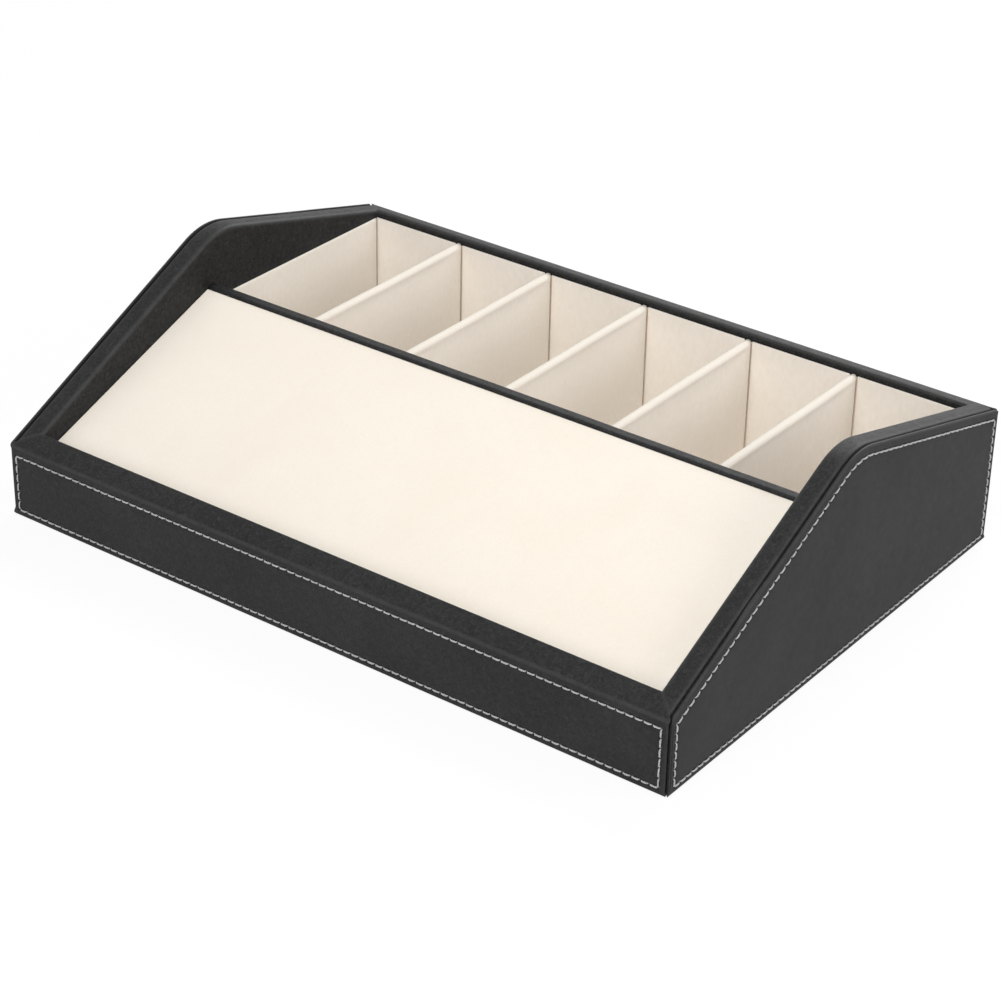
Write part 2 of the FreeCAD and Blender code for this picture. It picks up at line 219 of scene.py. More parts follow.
def seam_depth(p, seams):
    """How deep the stitches pull the leather in at the points p of a face."""
    depth = np.zeros(len(p))
    for seam in seams:
        if "start" in seam:
            way = (seam["end"] - seam["start"]) / seam["length"]
            share = np.clip((p - seam["start"]) @ way / seam["length"], 0, 1)
            near = seam["start"] + share[:, None] * (seam["end"] - seam["start"])
        else:
            off = p - PEAK_CENTRE
            turn = np.clip(np.arctan2(off[:, 0], off[:, 1]), -ANGLE_F, ANGLE_B)
            share = (turn + ANGLE_F) / (ANGLE_F + ANGLE_B)
            near = PEAK_CENTRE + seam["radius"] * np.stack([np.sin(turn), np.cos(turn)], 1)
        away = np.linalg.norm(p - near, axis=1)
        hole = 0.5 + 0.5 * np.cos(2 * math.pi * share * seam["count"])
        pull = CHANNEL_DEPTH * np.exp(-((away / CHANNEL_WIDTH) ** 2))
        pull += HOLE_DEPTH * hole * np.exp(-((away / (0.6 * CHANNEL_WIDTH)) ** 2))
        depth = np.maximum(depth, pull)
    return depth


def wall_seams(height):
    x, low, high = HALF_W - STITCH_MARGIN, STITCH_LOW, height - STITCH_MARGIN
    corners = [(-x, low), (-x, high), (x, high), (x, low)]
    return [straight_seam(corners[k], corners[(k + 1) % 4]) for k in range(4)]


def side_seams():
    m = STITCH_MARGIN
    y0, y1 = -HALF_D + m, HALF_D - m
    radius = PEAK_ROUND - m
    first, last = PEAK_CENTRE + radius * NORMAL_F, PEAK_CENTRE + radius * NORMAL_B
    top0, top1 = (y0, edge_z(y0, m)), (y1, edge_z(y1, m))
    return [
        straight_seam((y0, STITCH_LOW), top0),
        straight_seam(top0, first),
        peak_seam(m),
        straight_seam(last, top1),
        straight_seam(top1, (y1, STITCH_LOW)),
        straight_seam((y1, STITCH_LOW), (y0, STITCH_LOW)),
    ]


def ripple(p, size):
    """Gentle unevenness of stretched leather, the same on every run."""
    a, b, c = p[:, 0], p[:, 1], p[:, 2]
    return size * (
        np.sin(a * 0.061 + b * 0.043 + 0.7) * np.sin(b * 0.083 - c * 0.071 + 1.9)
        + 0.6 * np.sin(a * 0.137 - c * 0.119 + 2.3) * np.sin(b * 0.151 + a * 0.027 + 0.4)
    )


THREAD_R = 0.48


def add_stitches(name, seams, place, node, rng, material):
    """One twisted, two-ply stitch from hole to hole; place turns (a, b, height) into box coordinates."""
    rings, sides = 11, 10
    t = np.linspace(-1, 1, rings)
    around = np.arange(sides) * 2 * math.pi / sides
    points, faces = [], []
    for seam in seams:
        span = seam["length"] / seam["count"]
        for k in range(seam["count"]):
            centre, way = seam_place(seam, (k + 0.5) / seam["count"])
            lean = rng.normal(0, 0.014)
            along = np.array(
                [way[0] * math.cos(lean) - way[1] * math.sin(lean), way[0] * math.sin(lean) + way[1] * math.cos(lean)]
            )
            across = np.array([-along[1], along[0]])
            centre = centre + across * rng.normal(0, 0.035)
            half = span / 2 * (0.92 + rng.normal(0, 0.015))
            rise = 0.06 - 0.85 * np.abs(t) ** 5
            radius = THREAD_R * (1 - 0.28 * t**6) * (1 + rng.normal(0, 0.03))
            phase = rng.uniform(0, math.pi)
            start = len(points)
            for r in range(rings):
                lobes = 0.91 + 0.09 * np.cos(2 * (around - phase - 2.6 * t[r]))
                flat = centre + along * half * t[r]
                for s in range(sides):
                    out = radius[r] * lobes[s]
                    side, up = out * math.cos(around[s]), 0.88 * out * math.sin(around[s])
                    q = flat + across * side
                    points.append((q[0], q[1], rise[r] + up))
            for r in range(rings - 1):
                for s in range(sides):
                    a, b = start + r * sides + s, start + r * sides + (s + 1) % sides
                    faces.append((a, b, b + sides, a + sides))
            faces.append([start + s for s in range(sides)])
            faces.append([start + (rings - 1) * sides + s for s in range(sides)][::-1])
    return add_mesh(name, place(np.array(points)), faces, material, replaces=(node,))


# Front and back covers
NEAR_SEAM = (0.0, 0.35, 0.7, 1.1, 1.6, 2.3)
ROUND_STEPS = 7


def wedge_edge():
    """The upright corner seam: (distance back from the corner, depth) round a 45 degree wedge, shut at its bottom."""
    r, gap = 0.55, 0.95
    curve = []
    for k in range(6):
        turn = math.radians(27 * k)
        curve.append((gap + 2.414 * r - r * math.sin(turn), r - r * math.cos(turn)))
    return np.array(curve + [(1.96, 1.25), (2.02, 1.98)])


def mitre_edge():
    """The mitre between two strips: a small round, then straight down."""
    r, gap = 0.05, 0.005
    curve = []
    for k in range(6):
        turn = math.radians(18 * k)
        curve.append((gap + r - r * math.sin(turn), r - r * math.cos(turn)))
    return np.array(curve + [(gap, 0.4), (gap, 0.85)])


WEDGE, MITRE = wedge_edge(), mitre_edge()
RIDGE, RIDGE_WIDTH = 0.12, 1.1
NEAR_END = np.array([0.25, 0.5, 0.8, 1.15, 1.55])


def smooth(share):
    share = np.clip(share, 0, 1)
    return share * share * (3 - 2 * share)


def mitre_x(q, wall):
    """Half length of a wall cover at q inwards from its face."""
    deep = BOARD_X - (q - OUTER) * (BOARD_X - INNER_X) / (wall - OUTER)
    return np.where(q <= OUTER, HALF_W - q, np.maximum(deep, INNER_X))


def wall_cover(name, out, height, rise, wall, lip, node):
    """Leather over a low wall: face, rounded fold, sloped top, inner edge rounded by lip and inner face; out is -1
    at the front."""
    top_in = height + rise * wall
    face_marks = lambda length: spread(
        length,
        [0.0, 0.5] + [STITCH_LOW - 1.4 + s * k for k in NEAR_SEAM for s in ((1,) if not k else (1, -1)) if k < 2.2],
        [0.0, 1.0] + [3.5 + s * k for k in NEAR_SEAM for s in ((1,) if not k else (1, -1)) if k < 2.2],
        1.25,
    )
    outer = [(OUTER - 0.2, FLOOR_Z, 0), (0, FLOOR_Z, 0.8), (0, height, 2.4), (wall, top_in, lip), (wall, BASE_TOP, 0)]
    marks = [
        lambda length: spread(length, [0.0], [0.0], 1.0),
        face_marks,
        lambda length: spread(length, [0.0, 0.6], [0.0, 0.6], 1.3),
        lambda length: spread(length, [0.0, 1.0], [0.0], 4.0),
    ]
    points, normals, places = rounded_path(outer, marks, ROUND_STEPS)
    normals = -normals if normals[len(normals) // 4][0] > 0 else normals
    under = [
        (wall - INNER, BASE_TOP),
        (wall - INNER, height + rise * (wall - INNER) - 1.1),
        (wall * 0.5, height + rise * wall * 0.5 - 1.1),
        (OUTER, height + rise * OUTER - 1.1),
        (OUTER, height * 0.5),
        (OUTER, FLOOR_Z + 0.1),
    ]
    # Columns: half of them, then mirrored; the last eight go round the edge at the seam
    middle = spread(HALF_W - STITCH_MARGIN, [0.0], [0.0] + list(NEAR_SEAM[1:]), 1.2)
    near = [HALF_W - STITCH_MARGIN + k for k in NEAR_SEAM[1:] if k < 2.0] + [HALF_W - 2.95, HALF_W - 2.5]
    straight = np.array(middle + near)
    keep = 150.0
    seams = wall_seams(height)
    rows, wear_and_painted_light_rows = [], []
    total = len(points) + len(under)
    for r in range(total):
        is_outer = r < len(points)
        if is_outer:
            (q, z), n, place = points[r], normals[r], places[r]
            blend = float(np.clip(place - 1.0, 0, 1))
        else:
            (q, z), n, blend = under[r - len(points)], np.zeros(2), 0.5
        end = float(mitre_x(np.array(q), wall))
        last = straight[-1]
        shut = 0.5 * (1 - smooth((z - FLOOR_Z - 0.4) / 1.8)) if blend == 0 else blend
        tail = WEDGE * (1 - shut) + MITRE * shut
        reach = end - tail[0][0] - 0.05
        x = np.where(straight <= keep, straight, keep + (straight - keep) * (reach - keep) / (last - keep))
        sink = np.zeros(len(x))
        if is_outer:
            x = np.concatenate([x, end - tail[:, 0]])
            sink = np.concatenate([sink, tail[:, 1]])
        else:
            x = np.concatenate([x, end - 0.02 - np.linspace(1.0, 0.3, len(tail))])
            sink = np.zeros(len(x))
        xs = np.concatenate([-x[:0:-1], x])
        sinks = np.concatenate([sink[:0:-1], sink])
        if is_outer and place <= 2:
            sinks = sinks + seam_depth(np.stack([xs, np.full(len(xs), z)], 1), seams) * (1.0 if q < 0.5 else 0.0)
        side = np.abs(end - np.abs(xs))
        # painted highlight round the rounded folds, partly rubbing
        wear_and_painted_light = np.full(len(xs), math.sin(math.pi * (place % 1)) if is_outer else 0.0)
        if is_outer and 1.0 <= place < 4:
            # a low ridge where the mitred strips meet, with a painted highlight along it, and a slightly full top
            if blend > 0.5:
                sinks = sinks - RIDGE * np.exp(-((side / RIDGE_WIDTH) ** 2)) * (place < 3)
                wear_and_painted_light += 0.8 * np.exp(-((side / RIDGE_WIDTH) ** 2))
                if place == 2:
                    sinks = sinks - 0.22 * math.sin(math.pi * np.clip((q - 1) / (wall - 2), 0, 1))
        # painted highlight down the upright edge beside the corner seam, partly rubbing
        if is_outer and place < 2:
            wear_and_painted_light += 0.8 * np.exp(-(((side - 1.4) / 0.9) ** 2))
        wear_and_painted_light_rows.append(wear_and_painted_light)
        base = np.stack([xs, np.full(len(xs), q) - n[0] * sinks, np.full(len(xs), z) - n[1] * sinks], 1)
        rows.append(base)
    grid = np.array(rows)
    cols = grid.shape[1]
    flat = grid.reshape(-1, 3)
    face = np.repeat([r < len(points) for r in range(total)], cols)
    wave = ripple(flat, 0.05) * face
    flat = flat.copy()
    flat[:, 1] += wave * (flat[:, 1] < 3)
    flat[:, 1] = out * (HALF_D - flat[:, 1])
    faces = tube_faces(total, cols)
    faces.append([r * cols for r in range(total)])
    faces.append([r * cols + cols - 1 for r in range(total)][::-1])
    # upright outer faces take the lighter painted-light copy of the leather, the rest the wrap leather
    piece = add_mesh(name, flat, faces, LIGHTER_FACE_LEATHER, replaces=(node,), wear_and_painted_light=np.array(wear_and_painted_light_rows))
    piece.data.materials.append(WRAP_LEATHER)
    for face in piece.data.polygons:
        if abs(face.normal.y) < 0.95 or face.center.y * out < (HALF_D - 3) * MM:
            face.material_index = 1
    return piece


# Strips over the side boards
STRIP_OUT_X, PANEL_IN_X, GROOVE_DEPTH = 197.05, 198.35, 1.25
LEAN_Y = {-1: 70.0, 1: -82.0}


def strip_section():
    """Cross-section of a side strip: rows (x, inset, roll, rubbing and painted highlight) from inside the groove over
    the top to the inner face; the fourth value lays a painted highlight, partly rubbing, over both rounded edges.
    """
    rows = [(BOARD_X - 0.02, 3.2, 0, 0), (BOARD_X - 0.02, GROOVE_DEPTH + 0.35, 0, 0), (BOARD_X - 0.15, GROOVE_DEPTH + 0.1, 0, 0),
            (STRIP_OUT_X, GROOVE_DEPTH - 0.15, 0, 0), (STRIP_OUT_X, 1.0, 1, 0.2)]
    wide, deep, r = 1.6, 0.9, 2.0
    for k in range(7):
        turn = math.radians(15 * k)
        rows.append((STRIP_OUT_X - wide * (1 - math.cos(turn)), deep * (1 - math.sin(turn)), 1, math.sin(math.pi * (k + 0.5) / 7)))
    x0, x1 = STRIP_OUT_X - wide, INNER_X + r
    for k in range(1, 8):
        share = k / 8
        rows.append((x0 + (x1 - x0) * share, -0.22 * math.sin(math.pi * share), 1, 0.0))
    for k in range(8):
        turn = math.radians(90 * k / 7)
        rows.append((x1 - r * math.sin(turn), r - r * math.cos(turn), 1 if k < 6 else 0, math.sin(math.pi * (k + 0.5) / 8)))
    return rows


def side_strip(name, side, node, material):
    section = strip_section()
    steps = (66, 26, 56)
    head = MITRE
    grid, wear_and_painted_light_rows = [], []
    for x, inset, roll, wear_and_painted_light in section:
        q = OUTER + (BOARD_X - x) * (FRONT_WALL - OUTER) / (BOARD_X - INNER_X) if x < BOARD_X else HALF_W - x
        qb = OUTER + (BOARD_X - x) * (BACK_WALL - OUTER) / (BOARD_X - INNER_X) if x < BOARD_X else HALF_W - x
        grid.append(strip_row(x, inset, -HALF_D + q, HALF_D - qb, steps, head if roll else None))
        wear_and_painted_light_rows.append(wear_and_painted_light)
    drop = section[-1][1]
    for inset in (drop + 1.5, drop + 4, drop + 8):
        grid.append(strip_row(INNER_X, inset, FRONT_IN_Y, BACK_IN_Y, steps, None))
    edge = grid[-1]
    for share in (0.25, 0.5, 0.75, 1.0):
        row = edge.copy()
        row[:, 2] = edge[:, 2] + (BASE_TOP - edge[:, 2]) * share
        grid.append(row)
    under = [(INNER_X + INNER, None), (INNER_X + INNER, 1.1), (192.0, 1.1), (196.4, 1.1), (196.62, 1.3), (196.62, 3.2)]
    for x, inset in under:
        row = strip_row(x, 1.1 if inset is None else inset, FRONT_IN_Y - 1, BACK_IN_Y + 1, steps, None)
        if inset is None:
            row[:, 2] = BASE_TOP
        grid.append(row)
    grid = np.array(grid)
    cols = grid.shape[1]
    flat = grid.reshape(-1, 3).copy()
    flat[:, 0] *= side
    total = grid.shape[0]
    # rubbing plus painted highlight on the strip's rounded edges, and more at its mitred ends
    wear_and_painted_light = np.zeros((total, cols))
    wear_and_painted_light[: len(wear_and_painted_light_rows)] = np.array(wear_and_painted_light_rows)[:, None]
    near = np.concatenate([np.ones(len(MITRE)), np.exp(-((NEAR_END / RIDGE_WIDTH) ** 2))])
    wear_and_painted_light[5 : len(wear_and_painted_light_rows), : len(near)] += 0.8 * near
    wear_and_painted_light[5 : len(wear_and_painted_light_rows), -len(near) :] += 0.8 * near[::-1]
    faces = tube_faces(total, cols)
    faces.append([r * cols for r in range(total)])
    faces.append([r * cols + cols - 1 for r in range(total)][::-1])
    return add_mesh(name, flat, faces, material, replaces=(node,), wear_and_painted_light=wear_and_painted_light)


def strip_row(x, inset, y0, y1, steps, roll):
    """One row of a strip; the stations near both ends go up a low ridge and down round the mitre if roll is given."""
    line, normals = top_line(y0, y1, inset, steps)
    edge = MITRE if roll is not None else np.stack([np.linspace(0.3, 0.03, len(MITRE)), np.zeros(len(MITRE))], 1)
    ways = [(line[k + 1] - line[k]) * sign for k, sign in ((0, 1), (-2, -1))]
    ends = []
    for at, way, normal in ((line[0], ways[0], NORMAL_F), (line[-1], ways[1], NORMAL_B)):
        way = way / np.linalg.norm(way)
        rise = RIDGE * np.exp(-((NEAR_END / RIDGE_WIDTH) ** 2)) if roll is not None else 0 * NEAR_END
        top = at + (normal * RIDGE if roll is not None else 0)
        rolled_end = [top + way * a - normal * b for a, b in edge[::-1]]
        ends.append(np.array(rolled_end + [at + way * a + normal * b for a, b in zip(NEAR_END, rise)]))
    path = np.concatenate([ends[0], line[1:-1], ends[1][::-1]])
    return np.stack([np.full(len(path), x), path[:, 0], path[:, 1]], 1)


# Panels: rings round the edge and a patch inside
def coons(bottom, top, left, right):
    """Inner points of a patch between four edges; bottom and top run alike, and left and right."""
    n, m = len(bottom) - 1, len(left) - 1
    u = (np.arange(1, n) / n)[:, None, None]
    v = (np.arange(1, m) / m)[None, :, None]
    b, t = bottom[1:n][:, None, :], top[1:n][:, None, :]
    l, r = left[1:m][None, :, :], right[1:m][None, :, :]
    corners = (
        (1 - u) * (1 - v) * bottom[0] + u * (1 - v) * bottom[-1] + (1 - u) * v * top[0] + u * v * top[-1]
    )
    return (1 - v) * b + v * t + (1 - u) * l + u * r - corners


def patch(ring, start, counts, new_start):
    """Patch inside a ring of stations (front, top, back, bottom); gives points and faces."""
    m, n = counts
    index = np.arange(len(ring)) + start
    front, top = ring[: m + 1], ring[m : m + n + 1]
    back, bottom = ring[m + n : 2 * m + n + 1], np.concatenate([ring[2 * m + n :], ring[:1]])
    inner = coons(bottom[::-1], top, front, back[::-1])
    ids = np.empty((n + 1, m + 1), int)
    ids[0, :] = index[: m + 1]
    ids[:, m] = index[m : m + n + 1]
    ids[n, :] = index[m + n : 2 * m + n + 1][::-1]
    ids[:, 0] = np.concatenate([index[2 * m + n :], index[:1]])[::-1]
    ids[1:n, 1:m] = new_start + np.arange((n - 1) * (m - 1)).reshape(n - 1, m - 1)
    faces = []
    for i in range(n):
        for j in range(m):
            faces.append((ids[i, j], ids[i + 1, j], ids[i + 1, j + 1], ids[i, j + 1]))
    return inner.reshape(-1, 2), faces


def panel(loop, counts, section, lift=None, two_sided=False):
    """Points (a, b, height) and faces of a panel. section is (inset, height) from the back rim to the field;
    lift(points) is added to the height of the outer face, where the third value is set."""
    rings = [loop(s) for s in section]
    size = len(rings[0])
    points, faces = [], []
    for k, ring in enumerate(rings):
        if lift is not None and len(section[k]) > 2 and section[k][2]:
            ring = ring + np.column_stack([np.zeros((size, 2)), lift(ring[:, :2])])
        points.append(ring)
        if k:
            for s in range(size):
                a, b = (k - 1) * size + s, (k - 1) * size + (s + 1) % size
                faces.append((a, b, b + size, a + size))
    total = len(rings) * size
    inner, more = patch(rings[-1][:, :2], (len(rings) - 1) * size, counts, total)
    height = np.full(len(inner), section[-1][1], float)
    if lift is not None:
        height += lift(inner)
    points.append(np.column_stack([inner, height]))
    faces += more
    total += len(inner)
    if two_sided:
        inner, more = patch(rings[0][:, :2], 0, counts, total)
        points.append(np.column_stack([inner, np.full(len(inner), section[0][1], float)]))
        faces += more
    else:
        faces.append(list(range(size))[::-1])
    return np.concatenate(points), faces


TOP_CORNER, FOOT_CORNER = 2.4, 0.5


def round_corner(ring, corner, one, two, radius):
    """Move the stations near a corner between two straight edges onto an arc."""
    if radius < 0.05:
        return
    one, two = ((p - corner) / np.linalg.norm(p - corner) for p in (one, two))
    middle = (one + two) / np.linalg.norm(one + two)
    half = math.acos(float(one @ middle))
    reach, centre = radius / math.tan(half), corner + middle * radius / math.sin(half)
    away = np.linalg.norm(ring - corner, axis=1)
    for k in np.nonzero(away < reach)[0]:
        edge = one if (ring[k] - corner) @ (one - two) >= 0 else two
        first = (corner + edge * reach - centre) / radius
        share = 1 - away[k] / reach
        turn = math.pi / 2 - half
        ring[k] = centre + radius * (math.sin((1 - share) * turn) * first - math.sin(share * turn) * middle) / math.sin(turn)


def side_loop(entry, counts, top_steps, lean, lean_y):
    """Stations of a side's outline: up the front, along the top, down the back, along the bottom. entry is the
    inset and height along the top and bottom, whether it is lifted, and the inset and height at the upright ends.
    Near lean_y the edge leans over the groove by lean."""
    inset, height, _, end_inset, end_height = entry
    m, n = counts
    low = FLOOR_Z + inset * (STITCH_LOW - FLOOR_Z) / STITCH_MARGIN if inset <= STITCH_MARGIN else inset - 1.0
    foot = max(inset, HALF_W - height + 0.12)
    corner = foot + 0.8 * (inset < 1.5)
    y0, y1 = -HALF_D + corner, HALF_D - corner
    top, _ = top_line(y0, y1, inset, top_steps, 0.65)
    share_m, share_n = np.arange(m)[:, None] / m, np.arange(n)[:, None] / n
    share_m = share_m - 0.6 * np.sin(2 * math.pi * share_m) / (2 * math.pi)
    a, b = np.array([-HALF_D + foot, low]), np.array([HALF_D - foot, low])
    ring = np.concatenate([a + (top[0] - a) * share_m, top[:-1], top[-1] + (b - top[-1]) * share_m, b + (a - b) * share_n])
    heights, moves = np.full(len(ring), float(height)), np.zeros(len(ring))
    climb = (corner - foot) * share_m[:, 0]
    for start, way, here in ((0, 1, foot + climb), (m + n, -1, corner - climb)):
        line = ring[start : start + m, 1]
        weight = smooth((np.minimum(line - low, line.max() - line) - 0.6) / 2.4)
        moves[start : start + m] = way * (end_inset - here) * weight
        heights[start : start + m] += (end_height - height) * weight
    if inset < GROOVE_DEPTH and height < HALF_W - 0.5:
        heights[m : m + n] -= lean * np.exp(-(((top[:-1, 0] - lean_y) / 11.0) ** 2))
    knees = top[top_steps[0]], top[top_steps[0] + top_steps[1]]
    round_corner(ring, a.copy(), top[0], b, FOOT_CORNER - inset)
    round_corner(ring, top[0].copy(), a, knees[0], TOP_CORNER - inset)
    round_corner(ring, top[-1].copy(), b, knees[1], TOP_CORNER - inset)
    round_corner(ring, b.copy(), top[-1], a, FOOT_CORNER - inset)
    ring[:, 0] += moves
    return np.column_stack([ring, heights])


def side_panel(name, side, node, material):
    seams = side_seams()
    top_steps = tuple(4 * seams[k]["count"] for k in (1, 2, 3))
    counts = (56, sum(top_steps))
    face = HALF_W
    edge = [(4.5, BOARD_X + 0.05), (GROOVE_DEPTH + 0.5, BOARD_X + 0.05), (GROOVE_DEPTH, PANEL_IN_X)]
    for k in range(5):
        turn = math.radians(22.5 * k)
        edge.append((0.02 + 0.6 - 0.6 * math.sin(turn), PANEL_IN_X + 0.6 - 0.6 * math.cos(turn)))
    for k in range(1, 8):
        turn = math.radians(90 * k / 7)
        edge.append((0.02 + 1.05 - 1.05 * math.cos(turn), face - 1.05 + 1.05 * math.sin(turn)))
    # the upright ends follow the corner seam's wedge, sampled for as many rings
    wedge = np.concatenate([[(4.5, 2.15), (2.2, 2.15)], WEDGE[::-1]])
    at = np.linspace(0, len(wedge) - 1, len(edge))
    ends = [np.interp(at, np.arange(len(wedge)), wedge[:, k]) for k in (0, 1)]
    section = [(d, h, 0, ends[0][k], face - ends[1][k]) for k, (d, h) in enumerate(edge)]
    # rubbing plus painted highlight on the panel's rounded rim
    wear_and_painted_light = [0.0] * 4 + [0.25 * k for k in range(1, 5)] + [math.sin(math.pi * k / 7) + 0.15 for k in range(1, 8)]
    marks = sorted({STITCH_MARGIN + s * k for k in NEAR_SEAM for s in (1, -1)} | {1.9, 2.3, 8.2, 9.6, 11.5, 14.0})
    section += [(d, face, 1, d, face) for d in marks]

    def lift(p):
        inside = np.minimum(np.minimum(HALF_D - np.abs(p[:, 0]), edge_z(p[:, 0]) - p[:, 1]), p[:, 1])
        full = 0.12 * (1 - np.exp(-np.maximum(inside - 1, 0) / 6))
        three = np.column_stack([np.full(len(p), 90.0 * side), p])
        return full + ripple(three, 0.05) - seam_depth(p, seams)

    points, faces = panel(lambda s: side_loop(s, counts, top_steps, 0.75, LEAN_Y[side]), counts, section, lift)
    size = 2 * sum(counts)
    rub_and_light_amount = np.zeros(len(points))
    rub_and_light_amount[: size * len(wear_and_painted_light)] = np.repeat(wear_and_painted_light, size)
    world = np.column_stack([side * points[:, 2], points[:, 0], points[:, 1]])
    return add_mesh(name, world, faces, material, replaces=(node,), wear_and_painted_light=rub_and_light_amount)


def rect_loop(a0, a1, b0, b1, counts):
    """Stations of a rectangle at an inset, in the same order as side_loop."""
    m, n = counts
    sm, sn = np.arange(m)[:, None] / m, np.arange(n)[:, None] / n

    def loop(entry):
        inset = entry[0]
        p, q = np.array([a0 + inset, b0 + inset]), np.array([a0 + inset, b1 - inset])
        r, s = np.array([a1 - inset, b1 - inset]), np.array([a1 - inset, b0 + inset])
        ring = np.concatenate([p + (q - p) * sm, q + (r - q) * sn, r + (s - r) * sm, s + (p - s) * sn])
        return np.column_stack([ring, np.full(len(ring), entry[1], float)])

    return loop


def rolled(radius, low, high, steps=6, extra=()):
    """Section of a slab from its back face to its front face, round both edges."""
    out = []
    for k in range(steps + 1):
        turn = math.radians(90 * k / steps)
        out.append((radius - radius * math.sin(turn), low + radius - radius * math.cos(turn)))
    for k in range(steps + 1):
        turn = math.radians(90 * k / steps)
        out.append((radius - radius * math.cos(turn), high - radius + radius * math.sin(turn)))
    return out + [(d, high, 1) for d in extra]


# Materials
def shader(name, **inputs):
    """A material with one Principled shader whose even values sit on its own sockets."""
    material = bpy.data.materials.new(name)
    material.use_nodes = True
    tree = material.node_tree
    bsdf = tree.nodes["Principled BSDF"]
    for key, value in inputs.items():
        bsdf.inputs[key.replace("_", " ")].default_value = value
    return material, tree, bsdf


def node(tree, kind, links=None, **settings):
    made = tree.nodes.new(kind)
    for key, value in settings.items():
        if key.startswith("in_"):
            made.inputs[int(key[3:]) if key[3:].isdigit() else key[3:].replace("_", " ")].default_value = value
        else:
            setattr(made, key, value)
    for socket, source in (links or {}).items():
        tree.links.new(source, made.inputs[socket])
    return made


def place_texture(tree, stretch=(1, 1, 1)):
    coords = node(tree, "ShaderNodeTexCoord")
    return node(tree, "ShaderNodeMapping", {"Vector": coords.outputs["Object"]}, in_Scale=stretch).outputs[0]


def noise(tree, at, scale, detail=3.0, roughness=0.5, distortion=0.0):
    made = node(
        tree, "ShaderNodeTexNoise", {"Vector": at}, in_Scale=scale, in_Detail=detail, in_Roughness=roughness,
        in_Distortion=distortion,
    )
    return made.outputs[0]


def ramp(tree, value, low, high, to_low=0.0, to_high=1.0):
    made = node(tree, "ShaderNodeMapRange", {"Value": value}, in_1=low, in_2=high, in_3=to_low, in_4=to_high)
    return made.outputs[0]


def mix_colour(tree, factor, a, b):
    made = node(tree, "ShaderNodeMix", {0: factor}, data_type="RGBA")
    made.inputs[6].default_value = (*a, 1) if not hasattr(a, "links") else made.inputs[6].default_value
    made.inputs[7].default_value = (*b, 1) if not hasattr(b, "links") else made.inputs[7].default_value
    if hasattr(a, "links"):
        tree.links.new(a, made.inputs[6])
    if hasattr(b, "links"):
        tree.links.new(b, made.inputs[7])
    return made.outputs[2]


def bump(tree, bsdf, layers):
    """Bump layers (height, distance in metres, strength), one on another."""
    last = None
    for height, distance, strength in layers:
        links = {"Height": height}
        if last is not None:
            links["Normal"] = last
        last = node(tree, "ShaderNodeBump", links, in_Strength=strength, in_Distance=distance).outputs[0]
    tree.links.new(last, bsdf.inputs["Normal"])


def leather_material(name, base, light, highlight_and_rub_colour, wrinkled):
    """Fine pebbled leather; wrinkled, from 0 to 1, is stronger where it is pulled over narrow edges. Its colour holds
    painted shade in pebble crevices and wrinkle creases, painted highlight on raised wrinkles, and a lighter rubbing
    colour that also stands in for edge highlights.
    """
    material, tree, bsdf = shader(name, Specular_IOR_Level=0.16, IOR=1.45)
    at = place_texture(tree)
    cells = node(
        tree, "ShaderNodeTexVoronoi", {"Vector": at}, feature="DISTANCE_TO_EDGE", in_Scale=1050.0, in_Randomness=0.95
    ).outputs["Distance"]
    pebble = ramp(tree, cells, 0.0, 0.22)
    fine = noise(tree, at, 2600.0, 2.0, 0.6)
    crease = noise(tree, at, 210.0, 4.0, 0.62, 0.6)
    broad = noise(tree, at, 26.0, 3.0, 0.55)
    tone = mix_colour(tree, ramp(tree, broad, 0.3, 0.7), base, light)
    # painted shade for the crevices between the pebbles
    darker = tuple(0.62 * c for c in base)
    wrinkle = noise(tree, at, 430.0, 5.0, 0.72, 1.2)
    # painted shade down in the wrinkle creases and painted highlight on the raised wrinkles
    tone = mix_colour(tree, ramp(tree, wrinkle, 0.32, 0.50, 0.9 * wrinkled, 0.0), tone, tuple(0.45 * c for c in base))
    tone = mix_colour(tree, ramp(tree, wrinkle, 0.50, 0.72, 0.0, 0.9 * wrinkled), tone, highlight_and_rub_colour)
    colour = mix_colour(tree, ramp(tree, pebble, 0.0, 0.35, 0.25 + 0.3 * wrinkled, 0.0), tone, darker)
    # per-point rubbing with painted highlight, lighter and a little glossier
    rub_and_light_amount = node(tree, "ShaderNodeAttribute", attribute_name="wear_and_painted_light").outputs["Fac"]
    rub_and_highlight = node(tree, "ShaderNodeMath", {0: rub_and_light_amount, 1: ramp(tree, crease, 0.3, 0.65, 0.45, 1.0)}, operation="MULTIPLY").outputs[0]
    colour = mix_colour(tree, rub_and_highlight, colour, highlight_and_rub_colour)
    tree.links.new(colour, bsdf.inputs["Base Color"])
    rough = ramp(tree, crease, 0.25, 0.75, 0.48 - 0.04 * wrinkled, 0.56 + 0.04 * wrinkled)
    smooth = node(tree, "ShaderNodeMath", {0: rub_and_highlight, 2: rough}, operation="MULTIPLY_ADD", in_1=-0.10)
    tree.links.new(smooth.outputs[0], bsdf.inputs["Roughness"])
    bump(tree, bsdf, [(crease, 0.00010, 0.2 + 0.15 * wrinkled), (wrinkle, 0.00010, 0.1 + 0.4 * wrinkled),
                      (pebble, 0.00005, 0.4 + 0.15 * wrinkled), (fine, 0.00002, 0.35)])
    return material


